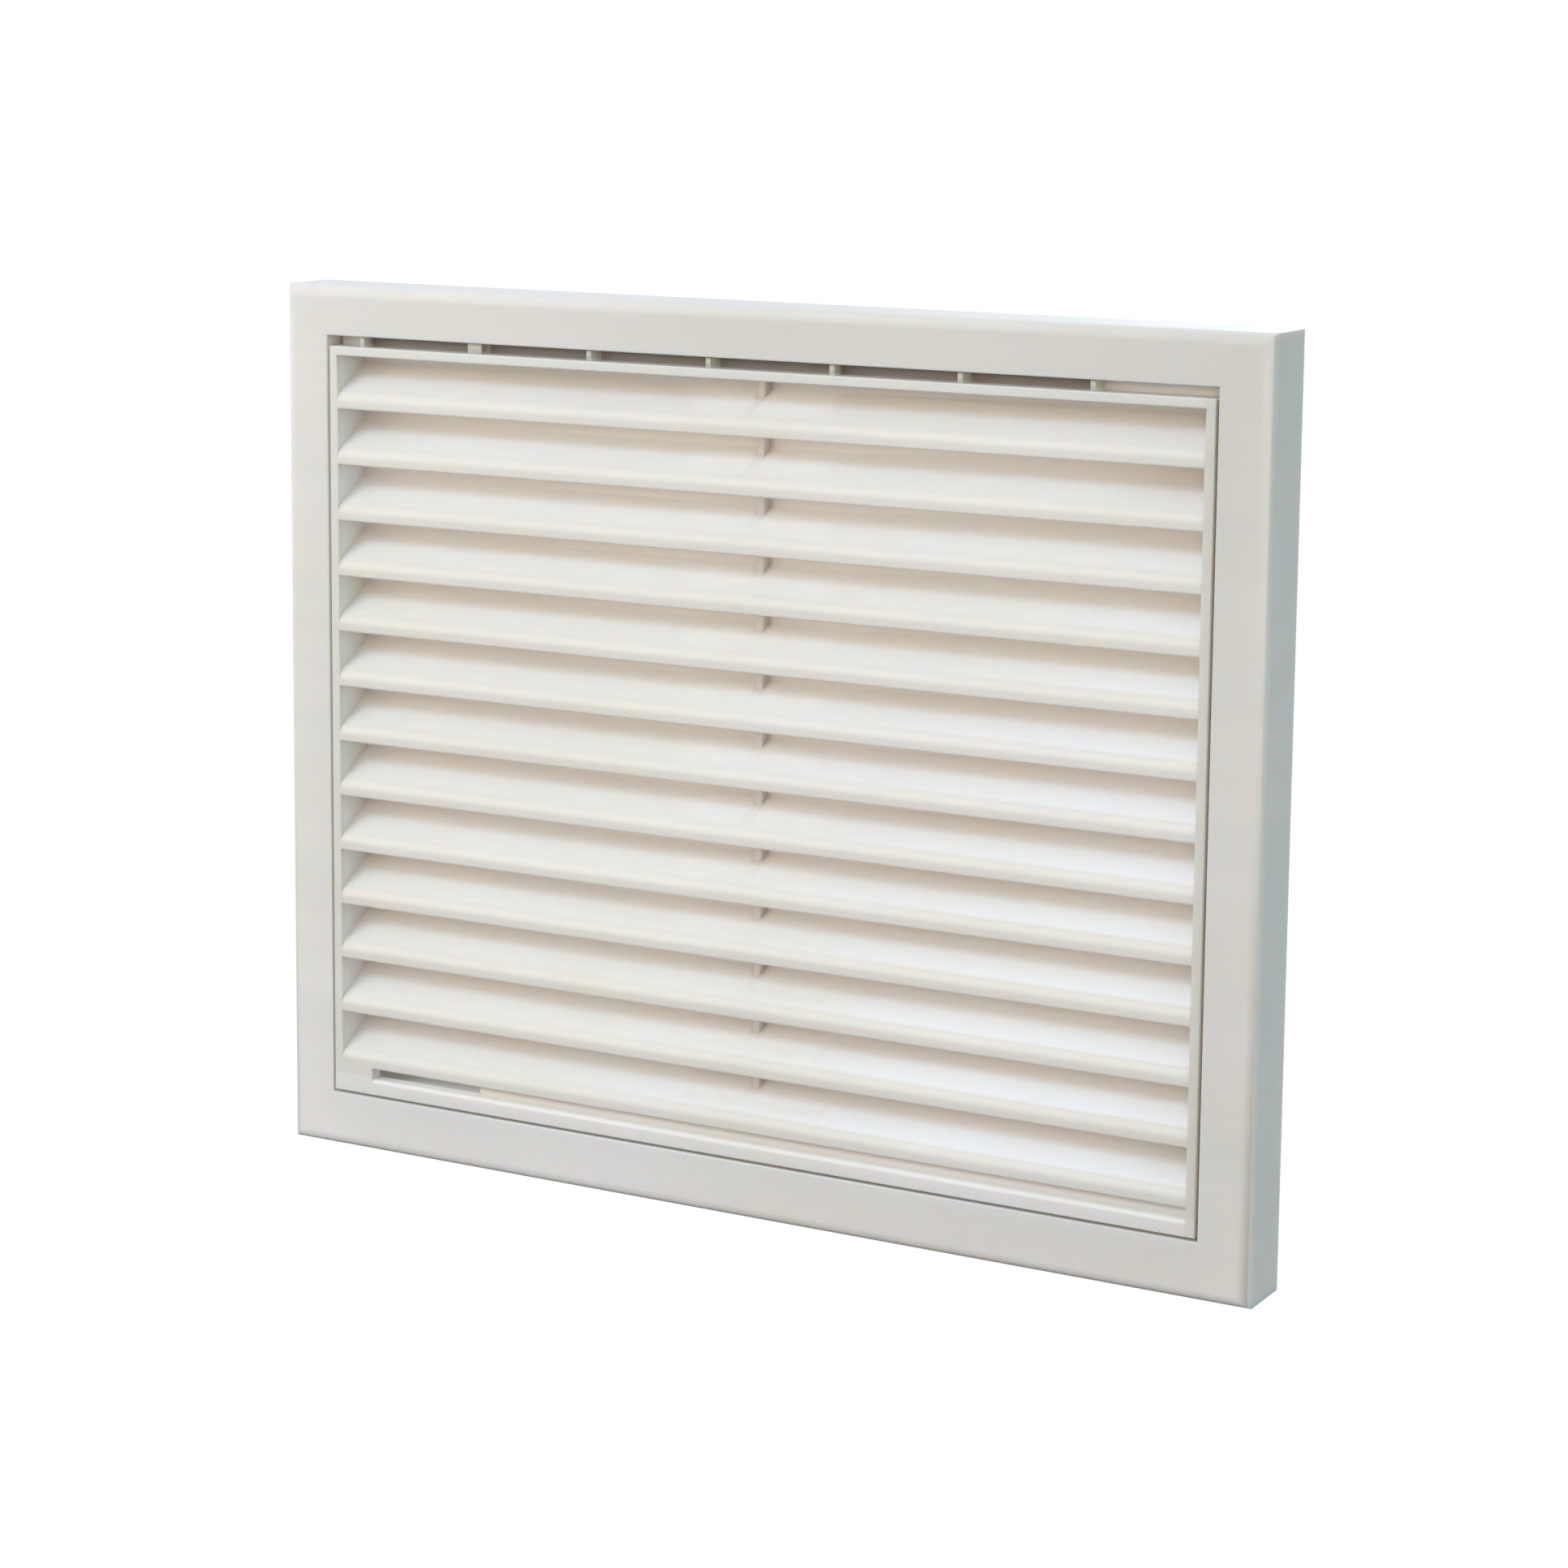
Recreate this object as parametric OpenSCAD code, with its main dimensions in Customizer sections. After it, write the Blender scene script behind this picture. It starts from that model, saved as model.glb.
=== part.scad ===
// Louvred ventilation grille in two mouldings: a hollow wall frame, and a
// louvre insert that drops into it and snaps behind its return wall.
// X runs to the right and Z up. The front faces -Y, the wall face is at Y = 0,
// and the origin is the centre of that face. Sizes are in millimetres.

/* [Frame] */
// Width of the frame
frame_w = 300; // [240:5:400]
// Height of the frame
frame_h = 250; // [200:5:400]
// Depth from the wall face to the front face
frame_d = 20; // [19:0.5:26]
// Width of the front border at each side
border_side = 14.5; // [13:0.5:24]
// Width of the front border above the insert
border_top = 14; // [12:0.5:24]
// Width of the front border below the insert
border_bottom = 16; // [13:0.5:24]
// Radius of the outer front edge
edge_r = 3.5; // [2.6:0.1:5]
// Thickness of the outer skirt
skirt_t = 2.2; // [1.6:0.1:2.4]
// Thickness of the front border
face_t = 2.2; // [1.6:0.1:3]
// Thickness of the return wall round the opening
return_t = 1.8; // [1.4:0.1:2.6]
// Spacing of the stiffening ribs behind the border
rib_spacing = 40; // [25:1:60]
// Thickness of a stiffening rib
rib_t = 1.5; // [1:0.1:2.5]
// Distance that the stiffening ribs stop short of the wall
rib_setback = 3; // [1:0.5:6]

/* [Seat and fixing] */
// Thickness of the ledge that the insert seats on
ledge_t = 2.5; // [2:0.1:4]
// Width of the ledge
ledge_w = 8; // [5:0.5:12]
// Side of the corner lug that takes a fixing screw
lug_size = 20; // [18:1:30]
// Corner radius of a lug
lug_r = 6; // [2:0.5:8]
// Diameter of a fixing hole
screw_d = 4.5; // [3:0.1:6]
// Distance from the frame's side to the fixing holes
screw_inset_x = 24; // [23:0.5:26]
// Distance from the frame's top and bottom to the fixing holes
screw_inset_z = 25; // [24:0.5:27]

/* [Insert] */
// Gap between the insert and the frame at each side
side_gap = 0.8; // [0.4:0.1:1.5]
// Gap below the insert
bottom_gap = 0.8; // [0.4:0.1:1.5]
// Release gap above the insert
top_gap = 3; // [2:0.1:5]
// Thickness of the insert's outer wall
rim_t = 2.6; // [2:0.1:4]
// Depth of the release gap down to the flange
release_depth = 6.5; // [4:0.5:9]
// Clearance of a sliding fit between the two mouldings
fit_gap = 0.2; // [0.1:0.05:0.3]

/* [Louvre blades] */
// Spacing that the blades keep to as nearly as the height allows
blade_spacing = 15.9; // [12:0.1:24]
// Height from the first blade's nose up to the rim
first_bay = 15.1; // [12:0.1:24]
// Slope of a blade
blade_slope = 30.8; // [15:0.1:45]
// Thickness of a blade
blade_t = 2; // [1.4:0.1:2.6]
// Depth of a blade from its nose to its back edge
blade_d = 14.5; // [10:0.5:14.5]
// Thickness of the rain lip that stands on a blade's back edge
lip_t = 1.5; // [1:0.1:2.5]
// Height of the rain lip above the nose of the next blade up
lip_overlap = 0.5; // [0.1:0.1:2]
// Gap between the first blade's rain lip and the rim
lip_gap = 1; // [0.6:0.1:3]
// Height of the upright face of a nose
nose_h = 1.8; // [0.8:0.1:3]
// Outer radius of the bend above the nose
nose_r = 4; // [3:0.1:5]
// Radius of the edge below the nose
foot_r = 0.5; // [0.2:0.1:0.8]
// Thickness of the rib that joins the blades at mid-width
spine_t = 2; // [1.2:0.1:4]
// Distance of the front of that rib behind the noses
spine_setback = 9.5; // [6:0.5:12]

/* [Bottom rail] */
// Height of the rail
rail_h = 4.9; // [4:0.1:8]
// Thickness of the wall behind the rail
rail_t = 4.3; // [3.6:0.1:6]
// Radius of the rail's top edge
rail_r = 1.6; // [0.6:0.1:1.7]
// Height of the groove between the last nose and the rail
groove_h = 2.8; // [2:0.1:5]
// Depth of the groove
groove_d = 1.8; // [1:0.1:1.9]
// Distance from the insert's left edge to the slot
slot_inset = 13; // [8:0.5:30]
// Length of the slot
slot_l = 36; // [20:1:60]
// Height of the slot
slot_h = 2.5; // [1.5:0.1:3.5]
// Distance of the slot's middle below the middle of the groove
slot_drop = 0.4; // [0:0.1:0.6]

/* [Release gap and snaps] */
// Distance from the insert's left edge to the first fin
fin_inset = 10.5; // [8:0.5:20]
// Spacing of the fins
fin_spacing = 37.5; // [25:0.5:60]
// Thickness of a fin
fin_t = 1.6; // [1:0.1:3]
// Distance of the fins behind the front face
fin_setback = 1; // [0.5:0.1:3]
// Place in the row of fins, from the left, that the release tab takes
tab_place = 2; // [1:1:4]
// Width of the release tab
tab_w = 4.6; // [3:0.1:10]
// Lean of the release tab's left side towards the flange
tab_lean = 2.3; // [0:0.1:4]
// Distance of the release tab behind the front face
tab_setback = 1.6; // [0.5:0.1:3]
// Distance of each snap from mid-width
snap_x = 60; // [30:1:90]
// Width of a snap
snap_w = 14; // [8:1:24]
// Height of a snap above the opening's edge
snap_h = 1.3; // [0.8:0.1:1.4]
// Length of a snap with its ramp
snap_l = 4; // [3:0.5:5]
// Length of a snap's level top, in front of the ramp
snap_top = 1.2; // [0.6:0.1:2]
// Clearance round a snap in its window
snap_gap = 0.4; // [0.2:0.1:0.6]
// Distance of each centring pad above or below mid-height
pad_z = 66; // [30:1:68]
// Height of a centring pad on the insert's side
pad_h = 16; // [8:1:30]
// Depth of a centring pad
pad_d = 6; // [3:0.5:8]

/* [Hidden] */
// Segments that draw the bend of a blade and of the rail
bend_steps = 8;
// Overlap of cutters past the faces that they cut, and of solids that join
over = 1;
join = 0.5;
$fn = 48;

// Depth at a distance behind the front face, as a Y coordinate
function back(distance) = -frame_d + distance;

open_w = frame_w - 2 * border_side;
open_top = frame_h / 2 - border_top;
open_bottom = -frame_h / 2 + border_bottom;
open_h = open_top - open_bottom;
open_z = (open_top + open_bottom) / 2;

screw_x = frame_w / 2 - screw_inset_x;
screw_z = frame_h / 2 - screw_inset_z;

insert_w = open_w - 2 * side_gap;
insert_top = open_top - top_gap;
insert_bottom = open_bottom + bottom_gap;
insert_d = frame_d - ledge_t;
flange_h = top_gap - fit_gap;

first_nose = insert_top - rim_t - first_bay;
rail_top = insert_bottom + rail_h;
last_nose = rail_top + groove_h;
bays = max(1, round((first_nose - last_nose) / blade_spacing));
blade_pitch = (first_nose - last_nose) / bays;

slot_x = -insert_w / 2 + slot_inset;
fin_x = -insert_w / 2 + fin_inset;
fins = floor((insert_w / 2 - fin_inset - fin_x) / fin_spacing) + 1;
snap_front = release_depth + 2 * snap_gap;

// Points of an arc about [x, y] from angle a to angle b
function arc(x, y, r, a, b) =
    [for (i = [0 : bend_steps]) let (t = a + (b - a) * i / bend_steps) [x + r * cos(t), y + r * sin(t)]];

// A section drawn in Y and Z, carried along X and centred on it
module along_x(length) {
    rotate([90, 0, 90]) linear_extrude(length, center = true) children();
}

// A rectangle from the wall face to Y = -d whose two front corners are round
module front_rounded(w, d, r, extra) {
    translate([-w / 2, -d + r]) square([w, d - r + extra]);
    translate([-w / 2 + r, -d]) square([w - 2 * r, d]);
    for (side = [-1, 1]) translate([side * (w / 2 - r), -d + r]) circle(r);
}

// A block whose front edges are rounded and mitred at the corners
module rounded_block(w, h, d, r, extra = 0) {
    intersection() {
        linear_extrude(h, center = true) front_rounded(w, d, r, extra);
        rotate([0, -90, 0]) linear_extrude(w, center = true) front_rounded(h, d, r, extra);
    }
}

// A box that fills the opening, grown by a margin, between two depths
module opening_box(margin, y0, y1) {
    translate([-open_w / 2 - margin, y0, open_bottom - margin])
        cube([open_w + 2 * margin, y1 - y0, open_h + 2 * margin]);
}

// The hollow behind the border: inside the skirt, outside the return wall
module border_hollow() {
    difference() {
        rounded_block(
            frame_w - 2 * skirt_t, frame_h - 2 * skirt_t,
            frame_d - face_t, edge_r - skirt_t, over
        );
        opening_box(return_t, -frame_d - over, 2 * over);
    }
}

// Ribs across the hollow, kept clear of the corners
module border_ribs() {
    rib_d = frame_d - face_t / 2 - rib_setback;
    side_x = open_w / 2 + return_t / 2;
    side_w = frame_w / 2 - skirt_t / 2 - side_x;
    side_mid = side_x + side_w / 2;
    top_z = open_top + return_t / 2;
    top_h = frame_h / 2 - skirt_t / 2 - top_z;
    low_z = open_bottom - return_t / 2;
    low_h = low_z + frame_h / 2 - skirt_t / 2;
    across = floor(open_w / 2 / rib_spacing);
    up = floor(open_h / 2 / rib_spacing);
    for (i = [-across : across]) translate([i * rib_spacing - rib_t / 2, back(face_t / 2), 0]) {
        translate([0, 0, top_z]) cube([rib_t, rib_d, top_h]);
        translate([0, 0, low_z - low_h]) cube([rib_t, rib_d, low_h]);
    }
    for (i = [-up : up], side = [-1, 1])
        translate([side * side_mid - side_w / 2, back(face_t / 2), open_z + i * rib_spacing - rib_t / 2])
            cube([side_w, rib_d, rib_t]);
}

// Plan of one corner lug, drawn from its outer corner
module lug_plan() {
    square([lug_size, lug_size - lug_r]);
    square([lug_size - lug_r, lug_size]);
    translate([lug_size - lug_r, lug_size - lug_r]) circle(lug_r);
}

// Plan of the air way: the opening less its ledge and its corner lugs
module air_plan() {
    difference() {
        square([open_w - 2 * ledge_w, open_h - 2 * ledge_w], center = true);
        for (sx = [-1, 1], sz = [-1, 1])
            scale([sx, sz]) translate([-open_w / 2, -open_h / 2]) lug_plan();
    }
}

// One snap window through the return wall, above or below the opening
module snap_window(x, z) {
    translate([x - snap_w / 2 - snap_gap, back(snap_front - snap_gap), z - over])
        cube([snap_w + 2 * snap_gap, snap_l + 2 * snap_gap, return_t + 2 * over]);
}

module frame() {
    color("#e4e2da") difference() {
        union() {
            difference() {
                rounded_block(frame_w, frame_h, frame_d, edge_r);
                border_hollow();
            }
            border_ribs();
        }
        opening_box(0, -frame_d - over, -ledge_t);
        translate([0, over, open_z]) rotate([90, 0, 0])
            linear_extrude(ledge_t + 2 * over) air_plan();
        for (sx = [-1, 1], sz = [-1, 1]) translate([sx * screw_x, over, sz * screw_z])
            rotate([90, 0, 0]) cylinder(h = ledge_t + 2 * over, d = screw_d);
        for (sx = [-1, 1]) {
            snap_window(sx * snap_x, open_top);
            snap_window(sx * snap_x, open_bottom - return_t);
        }
    }
}

// Section of a blade: an upright nose, a round bend, a slope up to the back and
// the rain lip. The first number is the distance behind the front face, the
// second the height above the foot of the nose.
function blade_outline(lip_top) = let (
    turn = 90 + blade_slope,
    outer = arc(nose_r, nose_h, nose_r, 180, turn),
    inner = arc(nose_r, nose_h, nose_r - blade_t, turn, 180),
    run = blade_d - outer[bend_steps][0],
    back_h = outer[bend_steps][1] + run * tan(blade_slope)
) concat(
    arc(foot_r, foot_r, foot_r, 270, 180), outer,
    [[blade_d - lip_t, back_h - lip_t * tan(blade_slope)], [blade_d - lip_t, lip_top], [blade_d, lip_top]],
    [[blade_d, back_h - blade_t / cos(blade_slope)]],
    inner, [[blade_t, 0]]
);

module blades() {
    for (i = [0 : bays]) translate([0, back(0), first_nose - i * blade_pitch])
        along_x(insert_w - rim_t)
            polygon(blade_outline(i == 0 ? first_bay - lip_gap : blade_pitch + lip_overlap));
}

// The insert's outer wall, open in front and behind
module rim() {
    difference() {
        translate([-insert_w / 2, back(0), insert_bottom])
            cube([insert_w, insert_d, insert_top - insert_bottom]);
        translate([-insert_w / 2 + rim_t, back(-over), insert_bottom + rim_t])
            cube([insert_w - 2 * rim_t, insert_d + 2 * over, insert_top - insert_bottom - 2 * rim_t]);
    }
}

// The set-back rib that joins every blade at mid-width
module spine() {
    translate([-spine_t / 2, back(spine_setback), insert_bottom + rim_t / 2])
        cube([spine_t, insert_d - spine_setback, insert_top - insert_bottom - rim_t]);
}

// Section of the rail, its round top edge and the wall at the back of the groove
function rail_outline() = let (wall_top = rail_h + groove_h + nose_h) concat(
    [[0, 0]],
    arc(rail_r, rail_h - rail_r, rail_r, 180, 90),
    [[groove_d, rail_h], [groove_d, wall_top], [rail_t, wall_top], [rail_t, 0]]
);

module bottom_rail() {
    fill_w = slot_inset - rim_t / 2;
    difference() {
        union() {
            translate([0, back(0), insert_bottom]) along_x(insert_w - rim_t) polygon(rail_outline());
            translate([-insert_w / 2 + rim_t / 2, back(0), insert_bottom])
                cube([fill_w, groove_d + join, rail_h + groove_h + join]);
        }
        translate([slot_x, back(-over), rail_top + (groove_h - slot_h) / 2 - slot_drop])
            cube([slot_l, rail_t + 2 * over, slot_h]);
    }
}

// The flange that closes the release gap, with the fins in front of it
module release_flange() {
    translate([-insert_w / 2, back(release_depth), insert_top - join])
        cube([insert_w, insert_d - release_depth, flange_h + join]);
    for (i = [0 : fins - 1]) if (i != tab_place - 1)
        translate([fin_x + i * fin_spacing - fin_t / 2, back(fin_setback), insert_top - join])
            cube([fin_t, release_depth - fin_setback + join, flange_h + join]);
    translate([fin_x + (tab_place - 1) * fin_spacing - tab_w / 2, back(tab_setback), insert_top - join])
        release_tab();
}

// The release tab: a block whose left side leans outward towards the flange
module release_tab() {
    tab_d = release_depth - tab_setback + join;
    linear_extrude(flange_h + join)
        polygon([[0, 0], [tab_w, 0], [tab_w, tab_d], [-tab_lean, tab_d]]);
}

// A snap: a shoulder towards the front and a ramp behind, rising by its height
module snap(height) {
    along_x(snap_w) polygon([[0, -join], [0, height], [snap_top, height], [snap_l, 0], [snap_l, -join]]);
}

module snaps() {
    for (sx = [-1, 1]) translate([sx * snap_x, back(snap_front), 0]) {
        translate([0, 0, insert_top + flange_h]) snap(fit_gap + snap_h);
        translate([0, 0, insert_bottom]) mirror([0, 0, 1]) snap(bottom_gap + snap_h);
    }
}

// Pads that centre the insert between the side walls of the opening
module pads() {
    pad_w = rim_t + side_gap - fit_gap;
    pad_x = insert_w / 2 - rim_t + pad_w / 2;
    for (sx = [-1, 1], sz = [-1, 1])
        translate([sx * pad_x, back(insert_d - pad_d / 2), open_z + sz * pad_z])
            cube([pad_w, pad_d, pad_h], center = true);
}

module louvre_insert() {
    color("#ebe9e2") union() {
        rim();
        blades();
        spine();
        bottom_rail();
        release_flange();
        snaps();
        pads();
    }
}

frame();
louvre_insert();
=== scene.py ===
"""Finish of a louvred ventilation grille: soft moulded edges, satin off-white plastic, studio light.

Lengths are in metres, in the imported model's own frame: X to the right, Z up, the front faces -Y."""

import math
from typing import NamedTuple

import bmesh
import bpy
import numpy as np
from mathutils import Matrix, Vector


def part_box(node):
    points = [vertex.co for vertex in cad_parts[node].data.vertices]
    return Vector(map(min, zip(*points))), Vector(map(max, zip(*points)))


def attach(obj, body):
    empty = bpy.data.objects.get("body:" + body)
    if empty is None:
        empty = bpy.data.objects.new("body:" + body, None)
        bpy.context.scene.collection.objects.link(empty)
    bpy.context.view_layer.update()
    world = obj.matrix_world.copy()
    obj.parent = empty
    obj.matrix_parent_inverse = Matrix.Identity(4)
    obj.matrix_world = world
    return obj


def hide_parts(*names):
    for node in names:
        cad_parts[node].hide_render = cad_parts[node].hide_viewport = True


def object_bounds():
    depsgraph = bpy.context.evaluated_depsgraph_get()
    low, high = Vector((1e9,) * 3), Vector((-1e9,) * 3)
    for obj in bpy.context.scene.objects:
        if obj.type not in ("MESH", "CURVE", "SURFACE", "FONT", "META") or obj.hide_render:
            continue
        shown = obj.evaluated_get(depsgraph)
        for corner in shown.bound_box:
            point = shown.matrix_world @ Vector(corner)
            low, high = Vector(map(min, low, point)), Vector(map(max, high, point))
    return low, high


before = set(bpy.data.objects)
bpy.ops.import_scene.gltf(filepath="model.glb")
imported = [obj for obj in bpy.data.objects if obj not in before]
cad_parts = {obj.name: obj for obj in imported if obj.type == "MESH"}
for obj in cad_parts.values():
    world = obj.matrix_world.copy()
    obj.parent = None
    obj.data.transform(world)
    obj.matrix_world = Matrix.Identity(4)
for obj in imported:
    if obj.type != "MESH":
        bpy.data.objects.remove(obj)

bl_info = {
    "name": "Ventilation grille",
    "version": (1, 0, 0),
    "blender": (4, 5, 0),
    "location": "View3D > Sidebar > Grille",
    "description": "Dresses the two mouldings of a louvred ventilation grille",
    "category": "Object",
}

MM = 0.001
SAME_PLACE = 0.001 * MM
CAD_LOW, CAD_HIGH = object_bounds()
INSERT_LOW, INSERT_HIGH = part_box("louvre_insert")


def length(name, description, default):
    """A length in metres that a user may change."""
    return bpy.props.FloatProperty(
        name=name, description=description, default=default, precision=6, subtype="DISTANCE", unit="LENGTH"
    )


def angle(name, description, degrees):
    """An angle that a user may change, given in degrees."""
    return bpy.props.FloatProperty(
        name=name, description=description, default=math.radians(degrees), subtype="ANGLE", unit="ROTATION"
    )


def share(name, description, default):
    """A number from 0 to 1 that a user may change."""
    return bpy.props.FloatProperty(
        name=name, description=description, default=default, min=0.0, max=1.0, subtype="FACTOR"
    )


def colour(name, description, default):
    """A colour that a user may change."""
    return bpy.props.FloatVectorProperty(
        name=name, description=description, default=default, size=3, min=0.0, max=1.0, subtype="COLOR"
    )


def count(name, description, default, least, most):
    """A whole number that a user may change."""
    return bpy.props.IntProperty(name=name, description=description, default=default, min=least, max=most)


class GrilleEdges(bpy.types.PropertyGroup):
    """Sizes of the softened edges of both mouldings"""

    radius: length("Edge radius", "Radius of the edges that the mould leaves between faces", 0.3 * MM)
    segments: count("Edge segments", "Number of faces across a softened edge", 3, 1, 6)
    sharp_angle: angle("Sharp angle", "Faces that meet at more than this angle get a softened edge", 35)
    shortest: length("Shortest edge", "Edges shorter than this stay sharp", 1.5 * MM)
    border_radius: length("Border radius", "Radius of the frame's outer front edge, as modelled", 3.5 * MM)
    border_cuts: count("Border cuts", "Cuts in each flat strip of the frame's rounded front edge", 2, 0, 6)


class GrilleBlades(bpy.types.PropertyGroup):
    """Sizes of the slight rise of the blades over the centre rib"""

    rise: length("Rise", "Height of the rise in each blade's slope over the centre rib", 0.2 * MM)
    reach: length("Reach", "Distance from the rib at which the rise has fallen to a third", 8 * MM)
    rib_half: length("Half rib", "Half of the centre rib's thickness, as modelled", 1 * MM)
    rail_zone: length("Rail zone", "Height of the rail and its groove below the last blade", 7.4 * MM)
    cuts: count("Cuts", "Cuts across the blades on each side of the rib that shape the rise", 7, 2, 16)


class GrillePlastic(bpy.types.PropertyGroup):
    """Colours, painted light and shade, and finish of the moulded plastic"""

    frame_colour: colour("Frame colour", "Colour of the frame's plastic", (0.81, 0.79, 0.75))
    insert_colour: colour("Insert colour", "Colour of the louvre insert's plastic", (0.865, 0.845, 0.81))
    drift: share("Colour drift", "Share by which the colour drifts over some centimetres", 0.02)
    streaks: share("Flow streaks", "Share by which the colour varies in streaks along the mould flow", 0.015)
    hue_drift: share("Hue drift", "Share by which the blue of the colour drifts", 0.015)
    # Painted light falloff on the frame: darker at the upper right, lighter at the lower left.
    fade: share("Fade", "Share by which the frame is darker at the upper right than at the lower left", 0.16)
    # Painted pool of light on the blades' slopes towards the lower right.
    painted_light_pool: share("Painted light pool", "Share by which the blades' slopes are paler towards the lower right", 0.13)
    # Painted shade on the blades' noses and the rim's front.
    painted_nose_shade: share("Painted nose shade", "Share by which the plastic is darker at the noses and the rim's front", 0.07)
    groove_shade: share("Groove shade", "Share by which the rail's groove and slot are darker", 0.1)
    rim_shade: share("Rim shade", "Share by which the insert's right rim is darker", 0.07)
    fin_shade: share("Fin shade", "Share by which the fins in the release gap are darker", 0.2)
    rib_shade: share("Rib shade", "Share by which the plastic is darker at the centre rib", 0.2)
    # Painted warm shade deep in the bays, towards the blades' backs.
    painted_depth_shade: colour("Inner tint", "Tint of the insert towards the blades' backs", (1.0, 0.97, 0.945))
    roughness: share("Roughness", "Mean roughness of the satin surface", 0.48)
    roughness_drift: share("Roughness drift", "Share by which the roughness varies", 0.05)
    translucence: share("Translucence", "Share of the light that scatters inside the plastic", 0.6)
    scatter: length("Scatter distance", "Distance that light travels inside the plastic", 3.5 * MM)
    grain_size: length("Grain size", "Size of the fine grains of the mould's texture", 0.35 * MM)
    grain_depth: length("Grain depth", "Depth of the fine grains of the mould's texture", 0.006 * MM)
    ripple_size: length("Ripple size", "Size of the slight ripples of the moulded faces", 7 * MM)
    ripple_depth: length("Ripple depth", "Depth of the slight ripples of the moulded faces", 0.01 * MM)


class GrilleStage(bpy.types.PropertyGroup):
    """Camera, room light and floor"""

    camera_place: bpy.props.FloatVectorProperty(
        name="Camera place",
        description="Place of the camera, right of the grille and above it",
        default=(0.4941, -0.8888, 0.1992),
        size=3,
        subtype="TRANSLATION",
        unit="LENGTH",
    )
    camera_turn: angle("Camera turn", "Turn of the camera to the left", 28.99)
    camera_tilt: angle("Camera tilt", "Tilt of the camera below the horizon", 8.38)
    camera_roll: angle("Camera roll", "Roll of the camera about its own line of sight", 0.537)
    lens: bpy.props.FloatProperty(
        name="Lens", description="Focal length of the camera", default=86.78, unit="CAMERA"
    )
    shift: bpy.props.FloatProperty(
        name="Lens shift",
        description="Vertical shift of the lens, which keeps the grille's sides nearly upright",
        default=-0.13,
    )
    room_colour: colour("Room colour", "Colour of the soft light of the room", (0.915, 0.911, 1.0))
    room_light: bpy.props.FloatProperty(
        name="Room light", description="Strength of the soft light of the room", default=0.717, min=0.0
    )
    floor_colour: colour("Floor colour", "Colour that the floor gives back", (0.2, 0.2, 0.2))
    floor_half: length("Floor size", "Half of the side of the floor", 3.0)


def merged_copy(node):
    """A bmesh of a CAD node, its loose triangles merged and its flat faces made whole.

    The front plane is first cut at mid-width, and that cut stays, so that no face goes round an opening."""
    same_plane = math.radians(0.4)
    low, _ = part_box(node)
    bm = bmesh.new()
    bm.from_mesh(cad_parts[node].data)
    bmesh.ops.remove_doubles(bm, verts=bm.verts, dist=SAME_PLACE)
    front = [f for f in bm.faces if all(v.co.y < low.y + SAME_PLACE for v in f.verts)]
    for e in cut_across(bm, front, 0.0):
        e.seam = True
    bmesh.ops.dissolve_limit(bm, angle_limit=same_plane, verts=bm.verts, edges=bm.edges, delimit={"SEAM"})
    bm.verts.index_update()
    return bm


def cut_across(bm, faces, x):
    """Cuts faces along a plane at a place across the width, and gives the edges of the cut."""
    around = dict.fromkeys(part for f in faces for part in (*f.verts, *f.edges))
    cut = bmesh.ops.bisect_plane(
        bm, geom=[*around, *faces], plane_co=(x, 0, 0), plane_no=(1, 0, 0), dist=SAME_PLACE
    )
    return [part for part in cut["geom_cut"] if isinstance(part, bmesh.types.BMEdge)]


def border_inset(co, radius):
    """Distances of points from the axis of the frame's round front edge.

    The first is the distance inside the nearer outer side, the second the distance behind the front,
    both less the radius. The third and fourth say how far X and Z are inside their own sides."""
    inset_x = CAD_HIGH.x - np.abs(co[:, 0]) - radius
    inset_z = CAD_HIGH.z - np.abs(co[:, 2]) - radius
    return np.minimum(inset_x, inset_z), co[:, 1] - CAD_LOW.y - radius, inset_x, inset_z


def divide_border(bm, edges):
    """Cuts the flat strips of the round front edge across, so that they can be made rounder."""
    radius = edges.border_radius
    close = 0.02 * MM
    co = np.array([v.co for v in bm.verts])
    a, b, _, _ = border_inset(co, radius)
    on_edge = (a < close) & (b < close) & (np.abs(np.hypot(a, b) - radius) < close)
    cross = [e for e in bm.edges if e.calc_length() < radius and on_edge[[v.index for v in e.verts]].all()]
    bmesh.ops.subdivide_edges(bm, edges=cross, cuts=edges.border_cuts, use_grid_fill=True)


def round_border(co, edges):
    """Moves the points of the frame's round front edge out onto the true circle.

    At a and b from the edge's axis, a point lies c = sqrt(a * a + b * b) away from it, and it moves
    to a * r / c and b * r / c, with r the edge's radius."""
    radius = edges.border_radius
    close = 0.01 * MM
    nearly = 0.9
    a, b, inset_x, inset_z = border_inset(co, radius)
    away = np.maximum(np.hypot(a, b), close)
    inside = (a < -close) & (b < -close) & (away > nearly * radius) & (away < radius)
    scale = np.where(inside, radius / away, 1.0)
    moved = co.copy()
    at_side = inside & (inset_x < a + close)
    at_level = inside & (inset_z < a + close)
    moved[at_side, 0] = (np.sign(co[:, 0]) * (CAD_HIGH.x - radius - a * scale))[at_side]
    moved[at_level, 2] = (np.sign(co[:, 2]) * (CAD_HIGH.z - radius - a * scale))[at_level]
    moved[inside, 1] = (CAD_LOW.y + radius + b * scale)[inside]
    return moved


def weigh_edges(bm, edges, stays_sharp=None):
    """Gives each long outward edge a bevel weight of 1, and leaves the others at 0."""
    weight = bm.edges.layers.float.new("bevel_weight_edge")
    for e in bm.edges:
        if len(e.link_faces) == 2 and e.calc_length() > edges.shortest:
            if e.calc_face_angle_signed() > edges.sharp_angle and not (stays_sharp and stays_sharp(e)):
                e[weight] = 1.0


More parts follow.
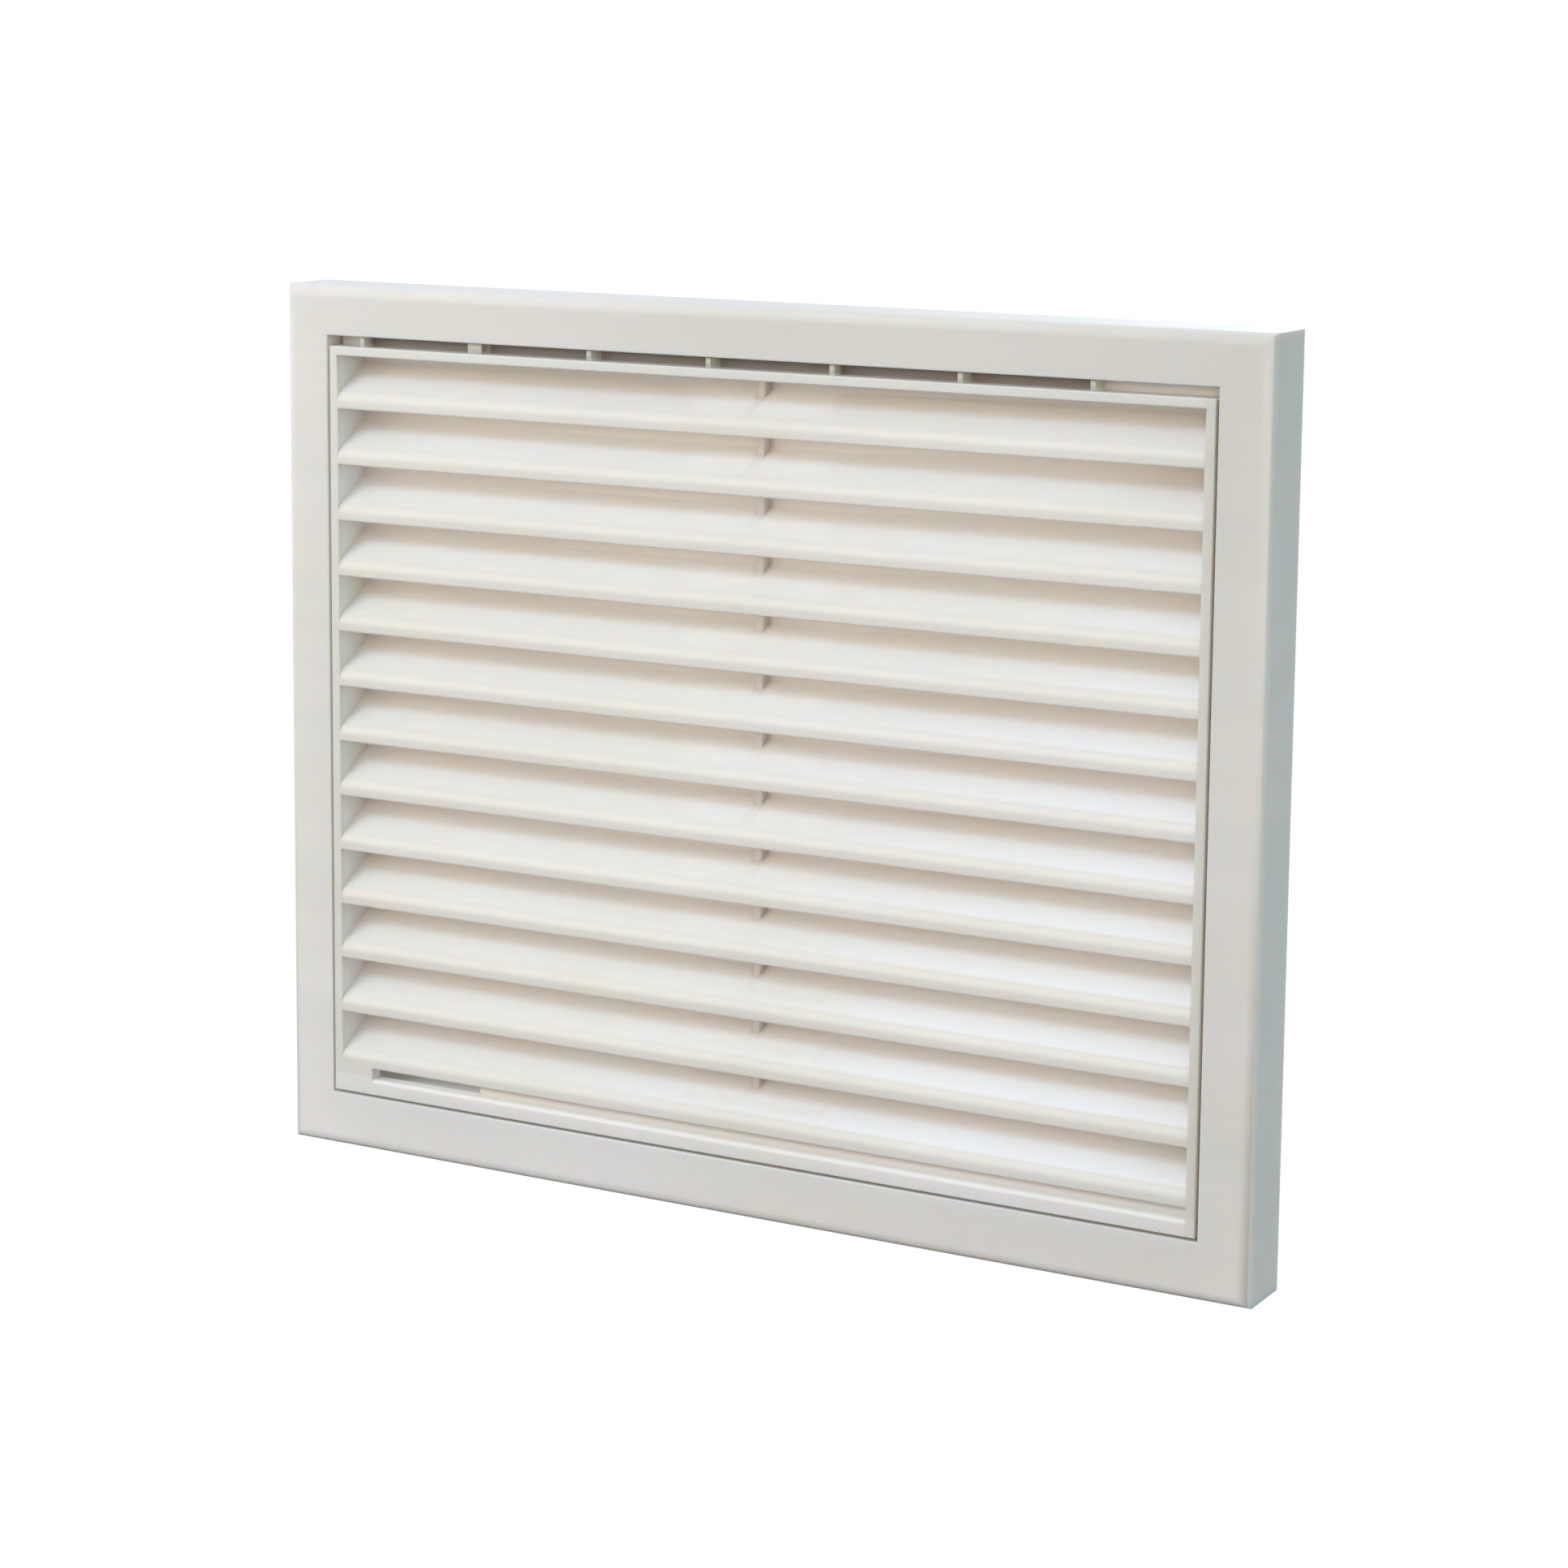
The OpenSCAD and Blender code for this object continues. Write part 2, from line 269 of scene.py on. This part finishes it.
def on_snap(edge):
    """Says whether an edge is on the insert's snaps or runs up to their wall, hidden in the frame."""
    snaps_front = INSERT_LOW.y + 6.4 * MM
    above_wall = 2.2 * MM
    low, high = INSERT_LOW.z + above_wall, INSERT_HIGH.z - above_wall
    return any(v.co.y > snaps_front and not low < v.co.z < high for v in edge.verts)


def rise_places(blades):
    """Distances from mid-width of the cuts that shape the rise, closer together near the rib."""
    spread = 1.5
    far = 3 * blades.reach
    steps = np.linspace(0, 1, blades.cuts + 1) ** spread
    return blades.rib_half + (far - blades.rib_half) * steps


def looks_up_and_out(x, y, z):
    """Says whether normals are those of a blade's upper side, its bend and its slope."""
    least_up = 0.1
    least_out = 0.05
    most_aside = 0.1
    return (z > least_up) & (y < -least_out) & (abs(x) < most_aside)


def is_upper(face, blades):
    """Says whether a face belongs to the upper side of a blade."""
    above_rail = INSERT_LOW.z + blades.rail_zone
    return looks_up_and_out(*face.normal) and all(v.co.z > above_rail for v in face.verts)


def cut_blades(bm, blades):
    """Cuts the blades' upper faces across at mid-width and at the places that shape the rise."""
    places = rise_places(blades)
    for x in np.concatenate([-places[::-1], [0.0], places]):
        cut_across(bm, [f for f in bm.faces if is_upper(f, blades)], x)


def raise_blades(mesh, co, blades):
    """Raises the blades' slopes over the rib, along the mean normal of the upper faces at each point.

    At a distance x from the rib the rise is rise * (exp(-x / reach) - exp(-3)), so it has gone at three
    times the reach. It grows from nothing on an upright face to its whole height on the slope."""
    slope_normal_z = 0.85
    tiny = 1e-9
    normals = np.empty(len(mesh.polygons) * 3)
    mesh.polygons.foreach_get("normal", normals)
    normals = normals.reshape(-1, 3)
    corner_counts = np.empty(len(mesh.polygons), int)
    mesh.polygons.foreach_get("loop_total", corner_counts)
    corners = np.empty(len(mesh.loops), int)
    mesh.loops.foreach_get("vertex_index", corners)
    at_upper = np.repeat(looks_up_and_out(*normals.T), corner_counts)
    push = np.zeros_like(co)
    np.add.at(push, corners[at_upper], np.repeat(normals, corner_counts, axis=0)[at_upper])
    size = np.linalg.norm(push, axis=1)
    push = push / np.maximum(size, tiny)[:, None]
    share_up = np.clip(push[:, 2] / slope_normal_z, 0, 1)
    above_rail = co[:, 2] > INSERT_LOW.z + blades.rail_zone
    height = np.clip(np.exp(-np.abs(co[:, 0]) / blades.reach) - math.exp(-3), 0, None)
    raised = co + push * (blades.rise * height * share_up * above_rail * (size > 0))[:, None]
    raised[:, 1] = np.maximum(raised[:, 1], INSERT_LOW.y)
    return raised


def read_points(mesh):
    """The mesh's points as an array with a row for each."""
    co = np.empty(len(mesh.vertices) * 3)
    mesh.vertices.foreach_get("co", co)
    return co.reshape(-1, 3)


def finished_piece(mesh, edges, node, material):
    """Makes the object, softens its weighed edges and stands it in for the CAD node."""
    smooth_below = math.radians(32)
    same_point = 0.002 * MM
    flat_face_weight = 90
    mesh.shade_smooth()
    mesh.set_sharp_from_angle(angle=smooth_below)
    mesh.materials.clear()
    mesh.materials.append(material)
    piece = bpy.data.objects.new(mesh.name, mesh)
    bpy.context.scene.collection.objects.link(piece)
    bevel = piece.modifiers.new("Soft edges", "BEVEL")
    bevel.limit_method = "WEIGHT"
    bevel.offset_type = "OFFSET"
    bevel.width = edges.radius
    bevel.segments = edges.segments
    bevel.use_clamp_overlap = False
    weld = piece.modifiers.new("Joined points", "WELD")
    weld.merge_threshold = same_point
    weighted = piece.modifiers.new("Flat faces", "WEIGHTED_NORMAL")
    weighted.mode = "FACE_AREA"
    weighted.weight = flat_face_weight
    weighted.keep_sharp = True
    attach(piece, "root")
    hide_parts(node)


class Shader:
    """Adds and links the shader nodes of one material or world."""

    def __init__(self, tree):
        self.tree = tree
        self.tree.nodes.clear()

    def add(self, kind, output=0, settings=None, **sockets):
        """Adds a node, sets or links its sockets by name or number, and gives one of its outputs."""
        node = self.tree.nodes.new(kind)
        for name, value in (settings or {}).items():
            setattr(node, name, value)
        for name, value in sockets.items():
            key = int(name[1:]) if name[0] == "n" and name[1:].isdigit() else name.replace("_", " ")
            if isinstance(value, bpy.types.NodeSocket):
                self.tree.links.new(value, node.inputs[key])
            else:
                node.inputs[key].default_value = value
        return node.outputs[output] if node.outputs else None

    def axes(self, vector):
        """The X, Y and Z of a vector."""
        node = self.add("ShaderNodeSeparateXYZ", 0, Vector=vector).node
        return node.outputs["X"], node.outputs["Y"], node.outputs["Z"]

    def noise(self, place, size, detail=2.0):
        """Noise of a given size, from 0 to 1 about a half."""
        return self.add("ShaderNodeTexNoise", 0, Vector=place, Scale=1 / size, Detail=detail)

    def ranged(self, value, low, high, to_low, to_high, kind="LINEAR"):
        """A value taken from one range to another, and held within it."""
        return self.add(
            "ShaderNodeMapRange", 0, {"interpolation_type": kind}, Value=value,
            From_Min=low, From_Max=high, To_Min=to_low, To_Max=to_high,
        )

    def varied(self, place, size, middle, spread, detail=2.0):
        """A value that noise of a given size takes up to a spread below and above its middle."""
        noise_low = 0.3
        noise_high = 0.7
        noise = self.noise(place, size, detail)
        return self.ranged(noise, noise_low, noise_high, middle - spread, middle + spread)

    def maths(self, operation, a, b):
        """The sum, product or other result of two values."""
        return self.add("ShaderNodeMath", 0, {"operation": operation}, n0=a, n1=b)

    def plus(self, a, b):
        """The sum of two values."""
        return self.maths("ADD", a, b)

    def times(self, a, b):
        """The product of two values."""
        return self.maths("MULTIPLY", a, b)


def painted_slope_light(s, place, plastic):
    """The painted light and shade on the blades and rim: a painted pool of light on the slopes at the lower
    right, and painted shade on the noses in front.

    The painted pool is multiplied by the smooth step of x - 0.9 z from 0 to 150 mm."""
    lean = 0.9
    blush_end = 150 * MM
    slope_normal_z = 0.857
    bend_normal_z = 0.74
    nose_shade_full = INSERT_LOW.y + 1.2 * MM
    nose_shade_end = INSERT_LOW.y + 2.6 * MM
    x, y, z = s.axes(place)
    _, _, up = s.axes(s.add("ShaderNodeTexCoord", "Normal"))
    diagonal = s.maths("SUBTRACT", x, s.times(z, lean))
    # Painted pool of light on the slopes. It grows towards the lower right and falls only on faces that look
    # up.
    towards = s.ranged(diagonal, 0.0, blush_end, 0.0, plastic.painted_light_pool, "SMOOTHSTEP")
    paler = s.times(towards, s.ranged(up, bend_normal_z, slope_normal_z, 0.0, 1.0))
    # Painted shade on the insert's front faces: the noses and the rim.
    painted_nose_darkening = s.ranged(y, nose_shade_full, nose_shade_end, -plastic.painted_nose_shade, 0.0)
    return s.plus(paler, painted_nose_darkening)


def blade_painted_light(s, place, plastic):
    """A tone that is 1 on most of the insert, with painted light and shade on its blades, rail, right rim
    and fins.
    """
    rail_top = INSERT_LOW.z + 7 * MM
    groove_front = INSERT_LOW.y + 0.3 * MM
    groove_full = INSERT_LOW.y + 0.8 * MM
    rim_inner = INSERT_HIGH.x - 4 * MM
    fins_low = INSERT_HIGH.z - 3.8 * MM
    fins_back = INSERT_LOW.y + 6.3 * MM
    x, y, z = s.axes(place)
    above_rail = s.ranged(z, rail_top, rail_top + MM, 0.0, 1.0)
    # Painted pool of light on the slopes and painted shade on the noses, kept off the rail.
    change = s.times(painted_slope_light(s, place, plastic), above_rail)
    # Painted shade in the rail's groove and slot.
    in_groove = s.ranged(y, groove_front, groove_full, 0.0, -plastic.groove_shade)
    change = s.plus(change, s.times(in_groove, s.maths("SUBTRACT", 1.0, above_rail)))
    # Painted shade on the insert's right rim.
    change = s.plus(change, s.ranged(x, rim_inner, rim_inner + MM, 0.0, -plastic.rim_shade))
    # Painted shade on the fins in the release gap.
    above_rim = s.ranged(z, fins_low, fins_low + 0.2 * MM, 0.0, -plastic.fin_shade)
    before_flange = s.ranged(y, fins_back, fins_back + 0.1 * MM, 1.0, 0.0)
    change = s.plus(change, s.times(above_rim, before_flange))
    return s.plus(change, 1.0)


def frame_painted_falloff(s, place, plastic):
    """A painted light falloff: a tone of 1 + f / 2 at the frame's lower left corner and 1 - f / 2 at its
    upper right, with f the share of the painted falloff.
    """
    lean = 0.6
    x, _, z = s.axes(place)
    corner = CAD_HIGH.x * lean + CAD_HIGH.z
    across = s.plus(s.times(x, lean), z)
    return s.ranged(across, -corner, corner, 1 + plastic.fade / 2, 1 - plastic.fade / 2)


def with_painted_depth_shade(s, place, base, plastic):
    """The base colour with painted warm shade from mid-slope to the blades' backs, and painted shade at the
    rib.

    The painted warm shade comes in long patches. The shade at the rib has gone 3 mm from mid-width."""
    depth_shade_front = INSERT_LOW.y + 7.5 * MM
    depth_shade_full = INSERT_LOW.y + 11.5 * MM
    patch_size = 45 * MM
    patch_low, patch_high = 0.35, 0.65
    least_depth_shade = 0.3
    shade_full = 0.8 * MM
    shade_end = 3 * MM
    x, y, _ = s.axes(place)
    within = s.ranged(y, depth_shade_front, depth_shade_full, 0.0, 1.0, "SMOOTHSTEP")
    patches = s.ranged(s.noise(place, patch_size), patch_low, patch_high, least_depth_shade, 1.0)
    # Painted warm shade in long patches, from mid-slope to the blades' backs.
    depth_shaded = s.add(
        "ShaderNodeMix", 2, {"data_type": "RGBA", "blend_type": "MULTIPLY"},
        n0=s.times(within, patches), n6=base, n7=(*plastic.painted_depth_shade, 1.0),
    )
    # Painted shade beside the centre rib.
    from_rib = s.maths("ABSOLUTE", x, 0.0)
    shade = s.ranged(from_rib, shade_full, shade_end, plastic.rib_shade, 0.0, "SMOOTHSTEP")
    return s.add(
        "ShaderNodeMix", 2, {"data_type": "RGBA"},
        n0=s.times(shade, within), n6=depth_shaded, n7=(0.0, 0.0, 0.0, 1.0),
    )


def base_colour(s, place, pigment, painted_light_by_place, plastic):
    """The pigment times the tone, which holds random drift, flow streaks and painted light and shade, its
    blue a little more, so that paler places are also whiter.
    """
    drift_size = 90 * MM
    streak_length = 160 * MM
    streak_width = 9 * MM
    streak_detail = 3.0
    hue_size = 32 * MM
    hue_detail = 1.0
    blue_power = 1.4
    drift = s.varied(place, drift_size, 1, plastic.drift)
    stretch = (1 / streak_length, 1 / streak_width, 1 / streak_width)
    along = s.add("ShaderNodeMapping", 0, Vector=place, Scale=stretch)
    streak = s.varied(along, 1.0, 1, plastic.streaks, streak_detail)
    # Drift and streaks are the plastic's own; the tone by place is painted light and shade.
    tone = s.times(s.times(drift, streak), painted_light_by_place(s, place, plastic))
    hue = s.varied(place, hue_size, 1, plastic.hue_drift, hue_detail)
    return s.add(
        "ShaderNodeCombineColor", 0,
        Red=s.times(tone, pigment[0]),
        Green=s.times(tone, pigment[1]),
        Blue=s.times(s.times(s.maths("POWER", tone, blue_power), hue), pigment[2]),
    )


def moulded_plastic(name, pigment, plastic, bladed=False):
    """Satin moulded plastic: a slight drift of tone, flow streaks, fine grain and shallow ripples, with
    painted light and shade by place.
    """
    smear_size = 18 * MM
    smear_detail = 4.0
    ripple_detail = 1.0
    material = bpy.data.materials.new(name)
    material.use_nodes = True
    s = Shader(material.node_tree)
    place = s.add("ShaderNodeTexCoord", "Object")
    if bladed:
        base = base_colour(s, place, pigment, blade_painted_light, plastic)
        base = with_painted_depth_shade(s, place, base, plastic)
    else:
        # The frame gets its painted light falloff.
        base = base_colour(s, place, pigment, frame_painted_falloff, plastic)
    roughness = s.varied(place, smear_size, plastic.roughness, plastic.roughness_drift, smear_detail)
    grain = s.times(s.noise(place, plastic.grain_size), plastic.grain_depth)
    ripple = s.times(s.noise(place, plastic.ripple_size, ripple_detail), plastic.ripple_depth)
    bump = s.add("ShaderNodeBump", 0, Height=s.plus(grain, ripple), Strength=1.0, Distance=1.0)
    surface = s.add(
        "ShaderNodeBsdfPrincipled", 0,
        Base_Color=base,
        Roughness=roughness,
        IOR=1.49,
        Subsurface_Weight=plastic.translucence,
        Subsurface_Radius=(1.0, 0.6, 0.4),
        Subsurface_Scale=plastic.scatter,
        Normal=bump,
    )
    s.add("ShaderNodeOutputMaterial", Surface=surface)
    return material


class GRILLE_OT_frame(bpy.types.Operator):
    """Rounds the wall frame's border, softens its edges and gives it its plastic, with a painted light
    falloff
    """

    bl_idname = "grille.frame"
    bl_label = "Wall frame"

    def execute(self, context):
        edges = context.scene.grille_edges
        plastic = context.scene.grille_plastic
        bm = merged_copy("frame")
        divide_border(bm, edges)
        weigh_edges(bm, edges)
        mesh = bpy.data.meshes.new("wall_frame")
        bm.to_mesh(mesh)
        bm.free()
        mesh.vertices.foreach_set("co", round_border(read_points(mesh), edges).ravel())
        mesh.update()
        material = moulded_plastic("frame_plastic", plastic.frame_colour, plastic)
        finished_piece(mesh, edges, "frame", material)
        return {"FINISHED"}


class GRILLE_OT_insert(bpy.types.Operator):
    """Shapes the louvre insert's blades at the rib, softens its edges and gives it its plastic, with painted
    light and shade
    """

    bl_idname = "grille.insert"
    bl_label = "Louvre insert"

    def execute(self, context):
        edges = context.scene.grille_edges
        plastic = context.scene.grille_plastic
        blades = context.scene.grille_blades
        bm = merged_copy("louvre_insert")
        weigh_edges(bm, edges, stays_sharp=on_snap)
        cut_blades(bm, blades)
        mesh = bpy.data.meshes.new("louvre_bank")
        bm.to_mesh(mesh)
        bm.free()
        mesh.vertices.foreach_set("co", raise_blades(mesh, read_points(mesh), blades).ravel())
        mesh.update()
        material = moulded_plastic("insert_plastic", plastic.insert_colour, plastic, bladed=True)
        finished_piece(mesh, edges, "louvre_insert", material)
        return {"FINISHED"}


class Lamp(NamedTuple):
    """A square lamp, placed by angles from the grille's front, positive to the right and up."""

    name: str
    azimuth: float
    elevation: float
    distance: float
    side: float
    power: float
    colour: tuple


LAMPS = (
    Lamp("key", -22, 38, 3.0, 0.7, 20.0, (0.605, 0.823, 1.0)),
    Lamp("soft_front", -22, 20, 1.5, 0.9, 3.3, (1.0, 0.862, 0.88)),
    Lamp("warm_fill", 29, 12, 1.5, 0.3, 2.8, (1.0, 0.638, 0.308)),
    Lamp("left", -50, 15, 0.8, 0.3, 0.7, (0.98, 1.0, 0.62)),
    Lamp("right", 75, 20, 1.5, 0.9, 2.5, (0.023, 0.883, 1.0)),
    Lamp("back", 180, 30, 1.5, 0.9, 10.5, (0.82, 0.94, 1.0)),
)


def add_lamp(lamp):
    """A square lamp at its angles from the grille's centre, aimed at it."""
    azimuth = math.radians(lamp.azimuth)
    elevation = math.radians(lamp.elevation)
    level = math.cos(elevation)
    away = Vector((math.sin(azimuth) * level, -math.cos(azimuth) * level, math.sin(elevation)))
    data = bpy.data.lights.new(lamp.name, "AREA")
    data.shape = "SQUARE"
    data.size = lamp.side
    data.energy = lamp.power
    data.color = lamp.colour
    light = bpy.data.objects.new(lamp.name, data)
    aim = away.to_track_quat("Z", "Y").to_matrix().to_4x4()
    light.matrix_world = Matrix.Translation(away * lamp.distance) @ aim
    bpy.context.scene.collection.objects.link(light)


def add_camera(stage):
    """The camera at the photograph's viewing angle."""
    camera = bpy.data.objects.new("camera", bpy.data.cameras.new("camera"))
    camera.data.lens = stage.lens
    camera.data.sensor_width = 36
    camera.data.shift_y = stage.shift
    camera.matrix_world = (
        Matrix.Translation(stage.camera_place)
        @ Matrix.Rotation(stage.camera_turn, 4, "Z")
        @ Matrix.Rotation(math.pi / 2 - stage.camera_tilt, 4, "X")
        @ Matrix.Rotation(stage.camera_roll, 4, "Z")
    )
    bpy.context.scene.collection.objects.link(camera)
    bpy.context.scene.camera = camera


def add_room(stage):
    """A white room to look at, which lights the grille with its own softer light."""
    world = bpy.data.worlds.new("white_room")
    world.use_nodes = True
    s = Shader(world.node_tree)
    light = s.add("ShaderNodeBackground", 0, Color=(*stage.room_colour, 1), Strength=stage.room_light)
    white = s.add("ShaderNodeBackground", 0, Color=(1, 1, 1, 1), Strength=1.0)
    seen = s.add("ShaderNodeLightPath", "Is Camera Ray")
    s.add("ShaderNodeOutputWorld", Surface=s.add("ShaderNodeMixShader", 0, n0=seen, n1=light, n2=white))
    bpy.context.scene.world = world


def add_floor(stage):
    """A white floor to look at, which gives back less light than it shows."""
    half = stage.floor_half
    z = CAD_LOW.z
    corners = [(-half, -half, z), (half, -half, z), (half, half, z), (-half, half, z)]
    mesh = bpy.data.meshes.new("floor")
    mesh.from_pydata(corners, [], [(0, 1, 2, 3)])
    floor = bpy.data.objects.new("floor", mesh)
    bpy.context.scene.collection.objects.link(floor)
    material = bpy.data.materials.new("floor_paper")
    material.use_nodes = True
    s = Shader(material.node_tree)
    paper = s.add("ShaderNodeBsdfDiffuse", 0, Color=(*stage.floor_colour, 1))
    white = s.add("ShaderNodeEmission", 0, Strength=1.0)
    seen = s.add("ShaderNodeLightPath", "Is Camera Ray")
    s.add("ShaderNodeOutputMaterial", Surface=s.add("ShaderNodeMixShader", 0, n0=seen, n1=paper, n2=white))
    mesh.materials.append(material)


class GRILLE_OT_stage(bpy.types.Operator):
    """Adds the camera, the lamps, the room and the floor"""

    bl_idname = "grille.stage"
    bl_label = "Stage"

    def execute(self, context):
        stage = context.scene.grille_stage
        context.scene.view_settings.view_transform = "Standard"
        add_camera(stage)
        for lamp in LAMPS:
            add_lamp(lamp)
        add_room(stage)
        add_floor(stage)
        return {"FINISHED"}


class GRILLE_PT_panel(bpy.types.Panel):
    """Lists the sizes, the colours and the steps in the sidebar"""

    bl_idname = "GRILLE_PT_panel"
    bl_label = "Ventilation grille"
    bl_space_type = "VIEW_3D"
    bl_region_type = "UI"
    bl_category = "Grille"

    def draw(self, context):
        for group, place in SETTINGS.items():
            box = self.layout.box()
            for name in group.__annotations__:
                box.prop(getattr(context.scene, place), name)
        for operator in OPERATORS:
            self.layout.operator(operator.bl_idname)


SETTINGS = {
    GrilleEdges: "grille_edges",
    GrilleBlades: "grille_blades",
    GrillePlastic: "grille_plastic",
    GrilleStage: "grille_stage",
}
OPERATORS = (GRILLE_OT_frame, GRILLE_OT_insert, GRILLE_OT_stage)
CLASSES = (*SETTINGS, *OPERATORS, GRILLE_PT_panel)


def register():
    """Registers the classes and hangs their settings on the scene."""
    for cls in CLASSES:
        bpy.utils.register_class(cls)
    for group, place in SETTINGS.items():
        setattr(bpy.types.Scene, place, bpy.props.PointerProperty(type=group))


def unregister():
    """Takes the settings off the scene and unregisters the classes."""
    for place in SETTINGS.values():
        delattr(bpy.types.Scene, place)
    for cls in reversed(CLASSES):
        bpy.utils.unregister_class(cls)


def main():
    """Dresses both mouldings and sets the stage."""
    register()
    bpy.ops.grille.frame()
    bpy.ops.grille.insert()
    bpy.ops.grille.stage()


if __name__ == "__main__":
    main()
